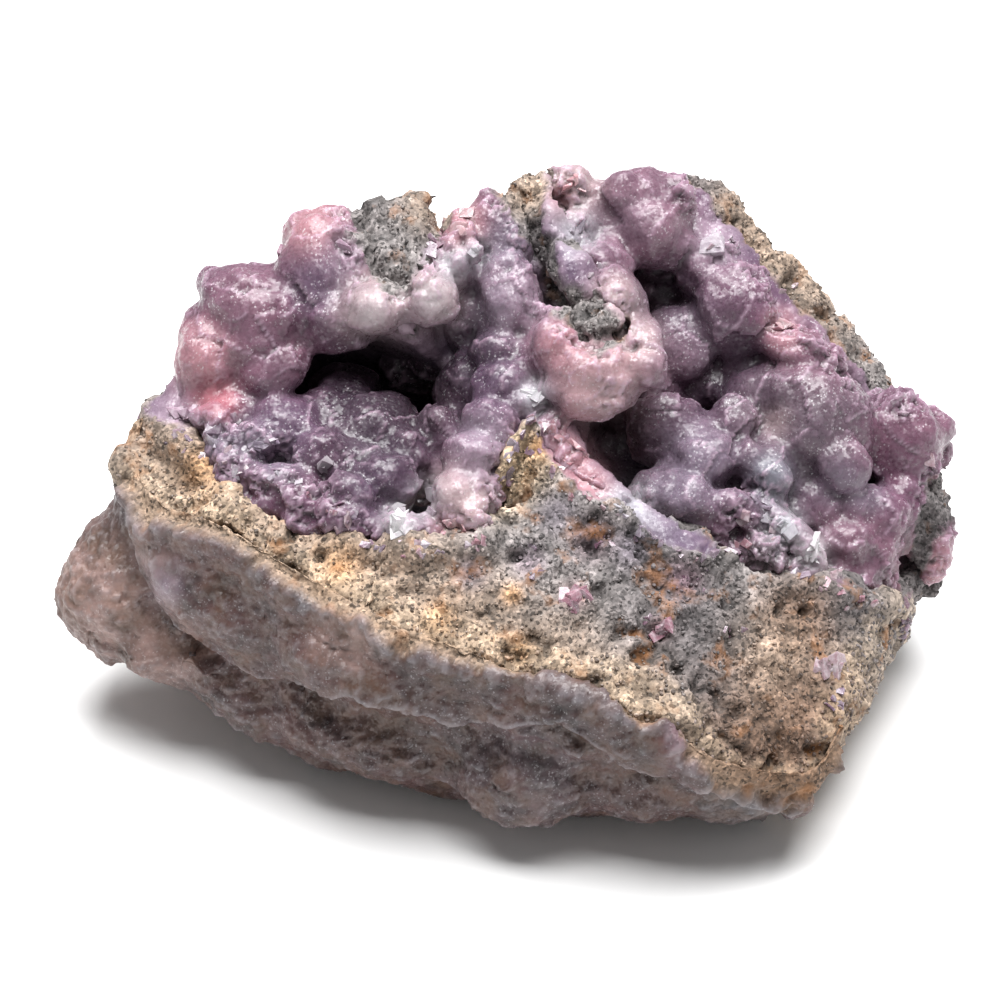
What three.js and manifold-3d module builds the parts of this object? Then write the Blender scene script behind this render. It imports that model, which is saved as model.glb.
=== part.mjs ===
// Smithsonite specimen: a hand-sized block of granular host rock, broken open across a hollow.
// Botryoidal smithsonite lines the hollow and coats the outside of the block below the broken lip.
// Millimetres, +Z up, with the origin under the middle of the specimen, on the surface that it rests on.
import * as THREE from "three";
import { ConvexGeometry } from "three/addons/geometries/ConvexGeometry.js";
import { ImprovedNoise } from "three/addons/math/ImprovedNoise.js";
import { TessellateModifier } from "three/addons/modifiers/TessellateModifier.js";
import { mergeVertices } from "three/addons/utils/BufferGeometryUtils.js";
import Module from "manifold-3d";

const wasm = await Module();
wasm.setup();

// Driving dimensions. The specimen is described as it is seen from its display side:
// a place is [across to the right, rise up the picture, out towards the eye], in mm from the sight centre.
const EYE_ELEVATION = 38;
const EYE_DISTANCE = 250;
const SIGHT_CENTRE_HEIGHT = 24;

// The gap left between touching solids, and the volume below which an offcut is dropped.
const SEAM = 0.3;
const OFFCUT_VOLUME = 6;
const CUTTER_SIZE = 50;

// Points closer than this are one point.
const WELD = 0.001;

// The rock's facets, and how far and how coarsely its surface wanders.
const ROCK_FACET = 12;
const MOST_SPLITS = 8;
const ROCK_ROUGHNESS = 0.8;
const ROCK_GRAIN = 6;

// The crusts' facets and unevenness, the outer skin's thickness and the vertical edge where it ends:
// a line through EDGE_PLACE in plan, turned by EDGE_TURN degrees.
const LUMP_FACET = 3.1;
const MOST_DETAIL = 2;
const LUMP_UNEVENNESS = 0.07;
const LUMP_GRAIN = 5;
const OUTER_SKIN = 1.6;
const EDGE_PLACE = [-38, 3];
const EDGE_TURN = -20;

// How far up the picture the fracture's outward direction leans, for each step towards the eye.
const FRACTURE_LEAN = 0.6;

// The broken lip: the front edge of the fracture, from the left end round to the right corner.
const LIP = [
  [-37, 4, 4],
  [-34, -1, 7],
  [-27, -2.5, 12],
  [-20, -7.5, 14],
  [-10, -13, 16.5],
  [0, -15.5, 17.5],
  [10, -18.5, 18],
  [18, -22, 18],
  [22, -26.5, 16.5],
  [31, -28, 13],
  [33.6, -23, 12],
  [33, -16.5, 10],
];

// The front foot of the block, from the left end to the right corner, and the low right end.
const FRONT_FOOT = [
  [-37, -12, -6],
  [-29, -19, -2],
  [-17, -25.5, 0],
  [-3, -28, 2],
  [5, -30, 3],
  [14, -29.5, 5],
  [23, -30.5, 6],
  [29, -29, 6],
  [38, -13, -10],
  [43.5, -8, -13],
];

// The fracture's back rim: round the left lobe, along the skyline and down to the right end.
const BACK_RIM = [
  [-34, 10, 3],
  [-28, 19, 0],
  [-16, 28.5, 1],
  [-13, 23, 4],
  [-7, 23, 4.5],
  [-5, 28, 1],
  [-10, 30.5, -1],
  [3, 30, -2],
  [19, 32.5, -4],
  [22, 31.8, -4.5],
  [25, 29.2, -5],
  [31, 22.2, -5],
  [38, 12.5, -6],
  [44.5, 5, -9],
];

// The back and underside, as plain x, y, z. The foot is cut flat where the specimen rests.
const BLOCK_BACK = [
  [-18, -4, -1.5],
  [18, -12, -1.5],
  [26, 10, -1.5],
  [-14, 18, -1.5],
  [-34, 10, 8],
  [-30, 20, 22],
  [-22, 18, 38],
  [0, 27, 6],
  [2, 27, 28],
  [20, 26, 44],
  [30, 23, 16],
  [40, 16, 8],
];

// Hollows cut into the fracture: [place, radii, turn in the picture plane in degrees].
const HOLLOWS = [
  // the left hollow and the hole at its back
  [[-14.5, 6.8, 7], [18, 10.8, 20], -20],
  [[-7, 6.5, -6], [4, 5, 9], 0],
  // the right hollow, its top, its left corner and its low right end
  [[24, 6, 2], [21, 13, 16], -28],
  [[16, 20, -3], [6, 7, 9], 0],
  [[11.5, 6.5, 0], [4, 4.5, 12], 0],
  [[38, -3, 0], [8, 8, 10], 0],
  // the saddle between the two hollows and the notch in the skyline
  [[1, 17, 9], [10, 10, 11], 0],
  [[-2.5, 29, 2], [5, 5, 9], 0],
  // pits in the broken face
  [[16, -10.5, 16], [1.8, 1.5, 2.5], 0],
  [[21.5, -23.5, 18], [2, 1.4, 2.2], -15],
  [[12, -18.4, 18.5], [1.6, 1.2, 2], 0],
];

// Rock left standing in the hollow: the rib that carries the pink knob, and the wedge below the saddle.
const RIBS = [
  [[3.2, 30, -1.5], [2.8, 2.8, 3.5], 0],
  [[5, 26.6, 0.8], [2.2, 4.2, 3.4], 27],
  [[7.6, 21.8, 4.2], [2.2, 4.2, 3.2], 27],
  [[10, 17.2, 7.6], [2.5, 2.6, 3], 0],
  [[1.8, 3.4, 7], [2.6, 4.8, 3.2], -16],
];

// Botryoids of the hollow's crust: [place, radii, turn].
const VUG_LUMPS = [
  // left lobe and its pink broken end
  [[-25.1, 19.5, 2.5], [4.5, 4.2, 4.6], 0],
  [[-28.4, 21.6, 1], [2.2, 1.9, 2.2], 0],
  [[-23.6, 15.4, 3.5], [4.4, 3.8, 4], 0],
  [[-29.4, 14.2, 2.5], [3.1, 5.2, 3.6], -8],
  [[-18.2, 21.5, 2.5], [4.8, 4.6, 4.4], 0],
  [[-18.8, 26.4, -0.5], [3.1, 2.5, 3], 0],
  [[-16, 17.5, 3.5], [4, 3, 3.6], 0],
  // pale knobs under the left lobe's broken rock
  [[-13.6, 19.8, 5], [2.5, 2.4, 2.6], 0],
  [[-10.8, 18.6, 5], [2.6, 2.3, 2.6], 0],
  [[-7.4, 19.8, 5.3], [2.4, 2.6, 2.6], 0],
  [[-5, 23.2, 3.6], [2.8, 2.8, 3], 0],
  [[-3.7, 27.2, 1.5], [2.4, 2.2, 2.4], 0],
  // saddle between the two hollows
  [[0.8, 17, -1], [3.8, 9, 6], 6],
  [[1.8, 20, 3], [2.6, 3.4, 3], 0],
  [[0.9, 25.6, 0.5], [3.2, 3.2, 3], 0],
  [[2.5, 12.5, 4.5], [3.2, 3.4, 3], 0],
  [[-1.8, 11.5, 1.5], [2.6, 3.8, 3.4], 0],
  [[0, 9.3, 6.5], [3, 2.6, 2.6], 0],
  [[-2.2, 5, 8], [2.6, 4, 3.2], -12],
  [[-3.6, 0.6, 11], [2.8, 3.4, 3.2], 0],
  // top ridge
  [[6.8, 31.4, -1], [2.8, 2.3, 2.6], 0],
  [[9.4, 29.2, -1.2], [2.4, 3, 2.8], 0],
  [[14.4, 28.8, -2.5], [5, 4.5, 4.5], 0],
  [[16.4, 25.4, -1.8], [3.6, 2.9, 3.2], 0],
  [[10.4, 26, -2], [3.4, 4.6, 3.4], 0],
  // pink knob and the crust that runs up beside its rib
  [[5.9, 15.5, 7.5], [2.8, 4, 3.4], 0],
  [[9.5, 12, 8], [4.6, 3.6, 4.4], 0],
  [[13.6, 15.2, 7], [3, 3.4, 3.2], 0],
  [[11.9, 19.6, 5], [3, 3, 3], 0],
  [[10.6, 22.6, 1.5], [3, 3, 3.4], 0],
  // back wall of the right hollow
  [[19.3, 16.2, -6], [4.8, 5, 4.5], 0],
  [[23.8, 19.9, -2.5], [3.9, 4.2, 4], 0],
  [[21.2, 24.5, -4], [3.4, 3.2, 3.4], 0],
  [[16.2, 9.5, -6], [4.2, 4.2, 3.8], 0],
  [[29, 15.8, -1.5], [5, 2.2, 3], -22],
  // large grey botryoid and its neighbours
  [[32.5, 7.5, -1], [5, 5.6, 5], 0],
  [[27.6, 9.3, -2.5], [6, 4.6, 4.8], 0],
  [[33.4, 2.6, 0.5], [3.6, 2.4, 3], 0],
  [[19.7, 4.4, 0.5], [4.4, 4.6, 5.6], 0],
  [[16.4, 0.2, 4.5], [3.8, 3, 3.4], 0],
  [[20.5, -2, 5], [4.2, 3, 3.4], 0],
  [[26.8, 2.8, 1.5], [2.8, 3.8, 4.2], 0],
  [[28.5, -2.8, 4.5], [4.2, 1.7, 3], -42],
  // right end
  [[39.4, 5.2, -5], [3.6, 5.4, 4.5], 0],
  [[42.4, 5, -7.5], [2.9, 3.2, 3], 0],
  [[40.6, -1, -5.5], [3.6, 4.5, 4], 0],
  [[35.8, -5.2, -1.5], [4.4, 4.2, 4.5], 0],
  [[34, -7.6, 0.5], [4.4, 3, 3.6], 0],
  [[42.8, -3.6, -8], [2.6, 5.4, 4.4], 0],
  [[37.4, -11, -4], [4, 4.4, 4.5], 0],
  // floor of the left hollow
  [[-15.6, 10.3, -3], [4, 3.6, 3.8], 0],
  [[-12.6, 5.6, 1], [4.6, 4.6, 5], 0],
  [[-12.4, 1.2, 6.5], [4.2, 3.8, 4.4], 0],
  [[-21.4, 7, 3.5], [4.4, 3.8, 4.4], 0],
  [[-17, 3.4, 5.5], [4.2, 3.6, 4.2], 0],
  [[-26.4, 8.4, 3.5], [3.4, 2.8, 3.6], 0],
  // pale plates along the left hollow's lower rim
  [[-31.2, 8, 3], [2.6, 2.2, 2.8], -30],
  [[-26.6, 4.4, 7], [3.2, 2, 2.6], -30],
  [[-21, 1.2, 9.6], [3.2, 2, 2.6], -30],
  [[-15.4, -1.8, 11], [3.4, 2.4, 3.2], -25],
  [[-9.2, -3.4, 12.8], [3.4, 2, 2.6], -5],
];

// Flattened mounds of the outer crust, from the left end along the front to the right corner.
const OUTER_LUMPS = [
  [[-37.4, -8.2, -4], [6.2, 9.6, 8], -25],
  [[-35, 1, -0.5], [3.4, 4.5, 4.5], 15],
  [[-33, -14.8, -2], [5.5, 4, 4.6], -30],
  [[-25, -9.5, 6], [10, 5, 4.6], -32],
  [[-26, -18, 0], [9, 4.4, 4.6], -33],
  [[-10, -17.2, 11], [11, 4, 4.2], -17],
  [[-13, -23.4, 4.5], [10, 4.4, 4.6], -18],
  [[8, -22.4, 13], [10, 3.4, 4], -14],
  [[2.5, -27.2, 8.5], [7.4, 5, 5], -5],
  [[14.5, -28, 8.5], [8, 3.6, 4.2], -8],
  [[24, -29, 9], [6.5, 3, 3.6], 6],
];

const elevation = THREE.MathUtils.degToRad(EYE_ELEVATION);
const RIGHT = new THREE.Vector3(1, 0, 0);
const UP = new THREE.Vector3(0, Math.sin(elevation), Math.cos(elevation));
const TOWARDS = new THREE.Vector3(0, -Math.cos(elevation), Math.sin(elevation));
const noise = new ImprovedNoise();

// A place as it is seen, in the specimen's own frame.
function seen([across, rise, out]) {
  const nearness = 1 - out / EYE_DISTANCE;
  return new THREE.Vector3(0, 0, SIGHT_CENTRE_HEIGHT)
    .addScaledVector(RIGHT, across * nearness)
    .addScaledVector(UP, rise * nearness)
    .addScaledVector(TOWARDS, out);
}

// A closed geometry as a solid that can be joined and cut.
function solidOf(geometry) {
  const bare = geometry.clone();
  for (const name of ["normal", "uv", "uv1", "color"]) bare.deleteAttribute(name);
  const merged = mergeVertices(bare, WELD);
  return new wasm.Manifold(
    new wasm.Mesh({
      numProp: 3,
      vertProperties: new Float32Array(merged.attributes.position.array),
      triVerts: new Uint32Array(merged.index.array),
    }),
  );
}

function geometryOf(solid) {
  const mesh = solid.getMesh();
  const geometry = new THREE.BufferGeometry();
  geometry.setAttribute("position", new THREE.BufferAttribute(mesh.vertProperties, 3));
  geometry.setIndex(new THREE.BufferAttribute(mesh.triVerts, 1));
  geometry.computeVertexNormals();
  return geometry;
}

function joined(solids) {
  return solids.reduce((all, next) => all.add(next));
}

// The largest body of a solid, once thin offcuts are dropped.
function largestBody(solid, name) {
  const bodies = solid.decompose().sort((a, b) => b.volume() - a.volume());
  const loose = bodies.slice(1).filter((body) => body.volume() > OFFCUT_VOLUME);
  if (loose.length) {
    const where = loose.map((body) => JSON.stringify(body.boundingBox()));
    throw new Error(`${name} has loose bodies: ${where.join(" ")}`);
  }
  return bodies[0];
}

// A faceted ball that holds as much as a ball of radius 1, with fewer facets the smaller it is to become.
function ball(size) {
  const detail = Math.min(MOST_DETAIL, Math.round(size / LUMP_FACET - 1));
  const faceted = detail < 1 ? new THREE.DodecahedronGeometry() : new THREE.IcosahedronGeometry(1, detail);
  for (const name of ["normal", "uv"]) faceted.deleteAttribute(name);
  const swell = Math.cbrt((4 * Math.PI) / 3 / solidOf(faceted).volume());
  return mergeVertices(faceted.scale(swell, swell, swell));
}

// An uneven ellipsoid whose radii lie across, up and out of the picture, turned in the picture plane.
// Its place also turns its facets, so that neighbours don't look alike.
function lump([place, radii, turn], grow) {
  const geometry = ball(Math.max(...radii)).rotateX(place[0]).rotateY(place[1]);
  const points = geometry.attributes.position;
  const centre = seen(place);
  const frame = new THREE.Matrix4().makeBasis(RIGHT, UP, TOWARDS);
  frame.multiply(new THREE.Matrix4().makeRotationZ(THREE.MathUtils.degToRad(turn)));
  const point = new THREE.Vector3();
  for (let i = 0; i < points.count; i++) {
    point.fromBufferAttribute(points, i);
    point.multiply(new THREE.Vector3(radii[0] + grow, radii[1] + grow, radii[2] + grow));
    point.applyMatrix4(frame);
    const at = point.clone().add(centre).divideScalar(LUMP_GRAIN);
    point.multiplyScalar(1 + LUMP_UNEVENNESS * noise.noise(at.x, at.y, at.z));
    point.add(centre);
    points.setXYZ(i, point.x, point.y, point.z);
  }
  return solidOf(geometry);
}

function lumps(list, grow) {
  return joined(list.map((entry) => lump(entry, grow)));
}

// The rough block of rock before it is hollowed, with its surface moved out by grow.
function block(grow) {
  const corners = [...LIP, ...FRONT_FOOT, ...BACK_RIM].map(seen);
  BLOCK_BACK.forEach((corner) => corners.push(new THREE.Vector3(...corner)));
  const hull = new ConvexGeometry(corners);
  const fine = new TessellateModifier(ROCK_FACET, MOST_SPLITS).modify(hull);
  for (const name of ["normal", "uv"]) fine.deleteAttribute(name);
  const geometry = mergeVertices(fine, WELD);
  geometry.computeVertexNormals();
  const points = geometry.attributes.position;
  const point = new THREE.Vector3();
  const outward = new THREE.Vector3();
  for (let i = 0; i < points.count; i++) {
    point.fromBufferAttribute(points, i);
    outward.fromBufferAttribute(geometry.attributes.normal, i);
    const at = point.clone().divideScalar(ROCK_GRAIN);
    point.addScaledVector(outward, grow + ROCK_ROUGHNESS * noise.noise(at.x, at.y, at.z));
    points.setXYZ(i, point.x, point.y, point.z);
  }
  return solidOf(geometry);
}

function rock(grow) {
  return block(grow).subtract(lumps(HOLLOWS, -grow)).add(lumps(RIBS, grow));
}

// Everything in front of the fracture, which the outer crust stops short of.
function aboveFracture() {
  const lift = TOWARDS.clone().addScaledVector(UP, FRACTURE_LEAN).normalize();
  const rim = [...LIP, ...BACK_RIM].map(seen);
  const near = rim.map((point) => point.clone().addScaledVector(lift, SEAM));
  const far = rim.map((point) => point.clone().addScaledVector(lift, CUTTER_SIZE));
  return solidOf(new ConvexGeometry([...near, ...far]));
}

// Everything behind the outer crust's rear edge.
function behindEdge() {
  const slab = new THREE.BoxGeometry(4 * CUTTER_SIZE, 2 * CUTTER_SIZE, 4 * CUTTER_SIZE);
  slab.translate(0, CUTTER_SIZE, 0);
  slab.rotateZ(THREE.MathUtils.degToRad(EDGE_TURN));
  slab.translate(EDGE_PLACE[0], EDGE_PLACE[1], 0);
  return solidOf(slab);
}

// The half space under the resting surface.
function belowFoot() {
  const slab = new THREE.BoxGeometry(4 * CUTTER_SIZE, 4 * CUTTER_SIZE, CUTTER_SIZE);
  slab.translate(0, 0, -CUTTER_SIZE / 2);
  return solidOf(slab);
}

function mesh(name, solid, colour, roughness) {
  const material = new THREE.MeshStandardMaterial({ color: colour, roughness, metalness: 0 });
  const made = new THREE.Mesh(geometryOf(solid), material);
  made.name = name;
  return made;
}

const foot = belowFoot();
const rockAndSeam = rock(SEAM);
const vugCrust = lumps(VUG_LUMPS, 0).subtract(rockAndSeam).subtract(foot);
const outerCrust = block(OUTER_SKIN)
  .subtract(behindEdge())
  .subtract(lumps(HOLLOWS, 0))
  .add(lumps(OUTER_LUMPS, 0))
  .subtract(rockAndSeam)
  .subtract(aboveFracture())
  .subtract(lumps(VUG_LUMPS, SEAM))
  .subtract(foot);

const specimen = new THREE.Group();
specimen.add(mesh("host_rock", largestBody(rock(0).subtract(foot), "host_rock"), 0x8d7f70, 0.9));
specimen.add(mesh("vug_crust", largestBody(vugCrust, "vug_crust"), 0x86667e, 0.4));
specimen.add(mesh("outer_crust", largestBody(outerCrust, "outer_crust"), 0x77656b, 0.5));

// The origin goes under the middle of the specimen.
const box = new THREE.Box3().setFromObject(specimen);
const middle = box.getCenter(new THREE.Vector3());
specimen.children.forEach((piece) => piece.position.set(-middle.x, -middle.y, -box.min.z));

export default specimen;
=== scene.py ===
"""A smithsonite specimen: botryoidal crust in the hollows of a broken block of granular rock.

Shapes are worked out in millimetres and handed to Blender in metres. Places on the display side
are given as the camera sees them, from the picture's middle: across to the right, and rise upwards.
"""

import itertools
import math

import bmesh
import bpy
import numpy as np
from mathutils import Matrix, Vector
from mathutils.bvhtree import BVHTree


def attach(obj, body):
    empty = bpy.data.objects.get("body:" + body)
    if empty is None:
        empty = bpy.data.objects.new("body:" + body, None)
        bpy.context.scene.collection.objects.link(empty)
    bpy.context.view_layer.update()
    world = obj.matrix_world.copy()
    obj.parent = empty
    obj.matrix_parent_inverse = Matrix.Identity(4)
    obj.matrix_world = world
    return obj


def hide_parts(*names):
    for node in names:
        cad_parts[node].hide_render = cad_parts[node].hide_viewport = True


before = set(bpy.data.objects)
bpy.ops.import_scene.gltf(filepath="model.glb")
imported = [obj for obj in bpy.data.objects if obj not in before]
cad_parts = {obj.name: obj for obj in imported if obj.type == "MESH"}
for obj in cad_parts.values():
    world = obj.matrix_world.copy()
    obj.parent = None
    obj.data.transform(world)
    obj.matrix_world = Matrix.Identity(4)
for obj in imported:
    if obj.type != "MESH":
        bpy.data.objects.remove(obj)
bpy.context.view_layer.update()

MM = 0.001
SEED = 11

# The camera: it looks at SIGHT_CENTRE (mm) from SIGHT_DISTANCE away.
SIGHT_CENTRE = np.array([-1.08, 1.2, 24.0])
SIGHT_DISTANCE = 250.0
SIGHT_ELEVATION = math.radians(38)
LENS = 90
SENSOR = 36
RIGHT = np.array([1.0, 0.0, 0.0])
UP = np.array([0.0, math.sin(SIGHT_ELEVATION), math.cos(SIGHT_ELEVATION)])
OUT = np.array([0.0, -math.cos(SIGHT_ELEVATION), math.sin(SIGHT_ELEVATION)])
EYE = SIGHT_CENTRE + SIGHT_DISTANCE * OUT

# Mesh cells, and half the width of the creases that are filled in, in mm.
CRUST_CELL = 0.355
ROCK_CELL = 0.465
OUTER_CELL = 0.32
CRUST_FILL = 0.55
OUTER_FILL = 1.0

# Colours, as they look in even light, save black, which is only painted shade in the hollows.
COLOURS = {
    "purple": "#694a5d",
    "violet": "#5d4b60",
    "deep": "#3f3340",
    "mauve": "#7c5a69",
    "lavender": "#7c7180",
    "lilac": "#a18b9a",
    "pink": "#b18188",
    "coral": "#b76e77",
    "blush": "#bfa8a9",
    "frost": "#b4b2b9",
    "white": "#d8d5d8",
    "grey": "#62555e",
    "blue_grey": "#7c828b",
    "magenta": "#6c4359",
    "brown_mauve": "#463231",
    "brown_pink": "#816a64",
    "grey_mauve": "#493e42",
    "tan": "#9c8673",
    "cream": "#d8bd9c",
    "ash": "#807a79",
    "slate": "#5d5758",
    "brown": "#6d513c",
    "umber": "#3a2827",
    "rust": "#9a6638",
    "orange": "#c8935a",
    "shadow_black": "#241f1f",
}

# Outlines on the display side, in mm across and rise: where bare rock shows, the broken lip, the
# crust's hollows and the band of outer crust below the lip.
ROCK_FACE_CRUST_EDGE = [
    (-38, 3), (-36.5, 9.5), (-31, 5.5), (-26, 3), (-20, 1.3), (-17, -1), (-14.7, -2.7), (-12, -4.7),
    (-7.3, -4.7), (-4, -4.5), (-2.5, -4), (-1, -2), (0, 2), (1.5, 5.5), (3, 7), (4.8, 4.5),
    (6.5, 2), (9, 0), (12.5, -1), (16, -4.5), (20, -6), (24, -4), (24.5, -0.5), (26, 0), (27, -4),
    (30, -7.5), (33, -9), (38, -10),
]
ROCK_FACE_LIP = [
    (41, -12.5), (38, -17), (37, -21), (36.5, -25), (34.5, -31), (30.5, -32), (24.5, -31),
    (20.5, -29), (18.5, -26.5), (16.5, -23.4), (13.6, -22.8), (9, -20.4), (4, -18.8), (-2, -17.5),
    (-6, -16.3), (-10.5, -15.5), (-13.5, -13), (-17.2, -11.6), (-21.2, -9.5), (-24, -8.4),
    (-26.5, -6.6), (-28, -4.2), (-30, -3.4), (-33, -3.4), (-36.5, -2.4),
]
LOBE_PATCH = [
    (-16, 30.5), (-10, 33), (-5, 31.5), (-6, 26.5), (-7.5, 23.8), (-9.2, 21.5), (-10.7, 20.8),
    (-12.7, 22.8), (-13.8, 25), (-14.5, 27.2),
]
RIB = [
    (-0.5, 31), (2, 34), (4.6, 33), (4.4, 28.5), (5.6, 25), (6.8, 21.4), (10.5, 19.6), (12, 18),
    (12.2, 16.2), (9.8, 15), (7.4, 16.6), (5.6, 19), (4.2, 22), (2.8, 26), (1.4, 28.4),
]
BACK_STRIP = [
    (17, 36), (22, 36), (27, 31.5), (31, 27), (36, 20), (44, 11), (38, 10.5), (33.5, 14.8),
    (30, 18.5), (26.5, 23), (22.5, 28), (19, 31.5),
]
RIGHT_STRIP = [
    (43, 2), (46, 3), (46, -1), (43.5, -5), (41.5, -9), (39.5, -11), (39.8, -8), (41.8, -4),
]
LIP = [
    (39, -12.5), (36, -16), (34.5, -20), (34, -24.5), (32.5, -29.5), (30, -29.6), (25.1, -28.6),
    (22, -27.6), (20.2, -25.8), (19.1, -23.4), (17.3, -21.5), (14.5, -20.9), (10, -18.5),
    (4.9, -16.9), (-0.9, -15.6), (-4.7, -14.4), (-9.3, -13.7), (-12.3, -11.2), (-16.2, -9.7),
    (-20.2, -7.6), (-23, -6.5), (-25, -4.9), (-26.9, -2.3), (-29.7, -1.5), (-32.6, -1.5),
    (-35.4, -0.4), (-38, 2),
]
RIM = ROCK_FACE_CRUST_EDGE + LIP
LINED = ROCK_FACE_CRUST_EDGE[1:] + [
    (44.0, 2.0), (42.0, 9.0), (36.0, 14.0), (28.0, 24.0), (20.0, 33.0), (5.0, 34.0), (-10.0, 32.0),
    (-20.0, 29.0), (-32.0, 18.0),
]
OUTER_BAND = [
    (-39, 3), (-37, -2), (-36.4, -4), (-35.2, -7.5), (-33.4, -10.4), (-31.6, -12.8), (-29, -15),
    (-25, -16.9), (-20, -18.2), (-15, -19.4), (-10, -21), (-6, -22), (0, -22.4), (6, -22.2),
    (12, -26), (20, -29), (26, -31), (34, -32), (40, -10),
]
BARE_ROCK = [ROCK_FACE_CRUST_EDGE + ROCK_FACE_LIP, LOBE_PATCH, RIB, BACK_STRIP, RIGHT_STRIP]

# Colour patches: (across, rise, reach, colour), in mm. The deep and black patches in the crust's
# hollows are painted shade.
CRUST_PATCHES = [
    # left lobe
    (-30.2, 14.4, 3, "pink"), (-28.6, 10, 2, "coral"), (-19, 27.7, 3, "pink"),
    (-15.5, 25, 2.2, "lilac"), (-25, 20, 3.5, "mauve"), (-22, 14.5, 3, "mauve"),
    (-18, 21.6, 3, "violet"), (-13.2, 19.6, 3, "blush"), (-10.5, 18.4, 2.6, "blush"),
    (-6.9, 20, 3, "blush"), (-12.6, 19, 1.8, "white"), (-7, 20, 1.8, "white"),
    (-9.2, 17.9, 2.2, "lilac"), (-4.7, 23.3, 1.6, "frost"), (-2.4, 24.9, 1.5, "frost"),
    (-3.7, 27.4, 2.2, "pink"),
    # left hollow; the deep and black patches here are painted shade in its depths
    (-10, 14, 5, "deep"), (-12.6, 5.4, 5, "deep"), (-15.4, 10.3, 2.8, "deep"),
    (-3, 15, 3.2, "deep"), (-21.3, 7.5, 3, "violet"), (-12.2, 1.4, 3, "violet"),
    (-12, 5.4, 2.6, "deep"), (-8, 10.8, 3.2, "shadow_black"), (-2.2, 15, 3, "deep"),
    (-32, 8.3, 2.2, "lilac"), (-28.9, 6.2, 2.2, "lavender"), (-24.6, 6, 2, "lavender"),
    (-22, 4, 1.8, "lavender"), (-10.3, -1.9, 1.4, "white"), (-7.5, 0.1, 1.8, "frost"),
    # wall between the hollows
    (-1.9, 6.5, 2.2, "lavender"), (-1.6, 5.6, 2.2, "lilac"), (-2.4, 3.2, 2, "lilac"),
    (-4.5, 0.4, 2.6, "blush"), (-2.8, -0.6, 2.4, "blush"), (-4.6, -2.4, 1.6, "pink"),
    (-0.5, 19.5, 2.6, "lavender"), (1.4, 20, 3, "lilac"), (0.9, 25.6, 2.6, "lavender"),
    (-1, 12, 3, "violet"), (3.5, 10.5, 1.6, "frost"),
    # pink knob, its band of pink and the top
    (10, 13, 4.2, "pink"), (10.5, 11.5, 3.6, "blush"), (6, 16, 2, "pink"), (13.8, 16, 2.2, "blush"),
    (11.5, 20, 2.2, "blush"), (7, 5, 2.2, "pink"), (9, 2, 2.2, "pink"), (13, -0.5, 2.2, "frost"),
    (7.2, 31.6, 2.8, "blush"), (6.2, 30.6, 1, "coral"), (14.4, 28.6, 4.6, "mauve"),
    (15.6, 27, 2.6, "mauve"), (14, 28, 2.6, "lilac"), (8.2, 27, 1.8, "frost"),
    # right hollow; the deep and black patches here are painted shade in its recesses
    (18.6, 15.4, 2.6, "mauve"), (19.4, 16.4, 3.2, "lavender"), (23.8, 19.7, 3.6, "purple"),
    (21.2, 25.4, 2.4, "lilac"), (30, 15.2, 2.4, "mauve"), (28.6, 16, 1.6, "pink"),
    (33, 14, 2.6, "mauve"), (27.9, 17.7, 1.4, "pink"), (32.3, 7.2, 5, "grey"),
    (34, 1.9, 2.2, "lavender"), (27, 9.5, 3.4, "grey"), (19.8, 3.9, 3.6, "lavender"),
    (17, -0.5, 2.8, "lavender"), (27.2, 2.4, 2.2, "blue_grey"), (28.4, -2.6, 1.8, "frost"),
    (31.5, -5.4, 1.6, "white"), (39.4, 5.2, 4, "magenta"), (39.6, 6.2, 2.4, "mauve"),
    (43, 6.5, 2.4, "mauve"), (36.6, 0.6, 1.8, "lavender"), (35.6, -5.6, 4.2, "mauve"),
    (43.5, -7.6, 3, "pink"), (37.5, -13.5, 3.4, "grey_mauve"), (16.5, 21, 3, "deep"),
    (21.5, 11.4, 2.6, "deep"), (24.5, 14.6, 1.6, "deep"), (12, 6.8, 2.6, "shadow_black"),
    (27, -6, 2.4, "slate"), (27.5, 8, 1.4, "blush"), (15, 9.8, 2.4, "deep"),
]
ROCK_PATCHES = [
    # The four cream patches near (1, 3) brighten the spur beside the groove: partly its own pale
    # colour, partly painted light where the knob shades it.
    (1, 3, 2.2, "cream"), (1.6, 5.2, 1.6, "cream"), (-34, 4, 4, "tan"), (-28, 0, 5, "tan"),
    (-20, -3, 6, "tan"), (-12, -8, 6, "tan"), (-3, -12, 5, "tan"), (6, -15, 4.5, "tan"),
    (14, -19, 3.5, "tan"), (4, -3, 5, "ash"), (9, -8, 6, "ash"), (16, -10, 5, "slate"),
    (20, -16, 5, "slate"), (25, -22, 5, "brown"), (30, -12, 3.4, "brown"), (27, -16, 4, "tan"),
    (31, -20, 4.5, "brown"), (36, -11, 3, "slate"), (1.4, 3.4, 3, "cream"), (0.4, 1, 2.4, "cream"),
    (24.4, -1.8, 1.8, "orange"), (-11, 26, 4, "ash"), (-7, 29.5, 2.5, "tan"),
    (10.2, 17.4, 2.6, "ash"), (4.6, 25.6, 3, "slate"), (3, 31, 2, "tan"), (28, 25, 8, "tan"),
    (20, 32, 2.5, "slate"), (44, -4, 4, "slate"), (29, -27, 4, "brown"),
    (5.5, -1.5, 1.8, "lavender"), (9, -4, 2, "mauve"), (13, -5, 1.8, "lavender"),
    (7.5, -9.5, 1.2, "pink"), (16, -12.8, 1, "pink"), (3, -6, 1.4, "lilac"),
    (-3, -7.5, 1.4, "lavender"), (18, -8, 1.8, "mauve"), (3.4, 5, 1.2, "orange"),
    (-16, -6.5, 2, "orange"), (-6, -12, 1.6, "orange"), (2, -15, 1.4, "orange"),
    (-30, 3, 2, "orange"), (1.2, -9.5, 1, "orange"),
]
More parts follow.
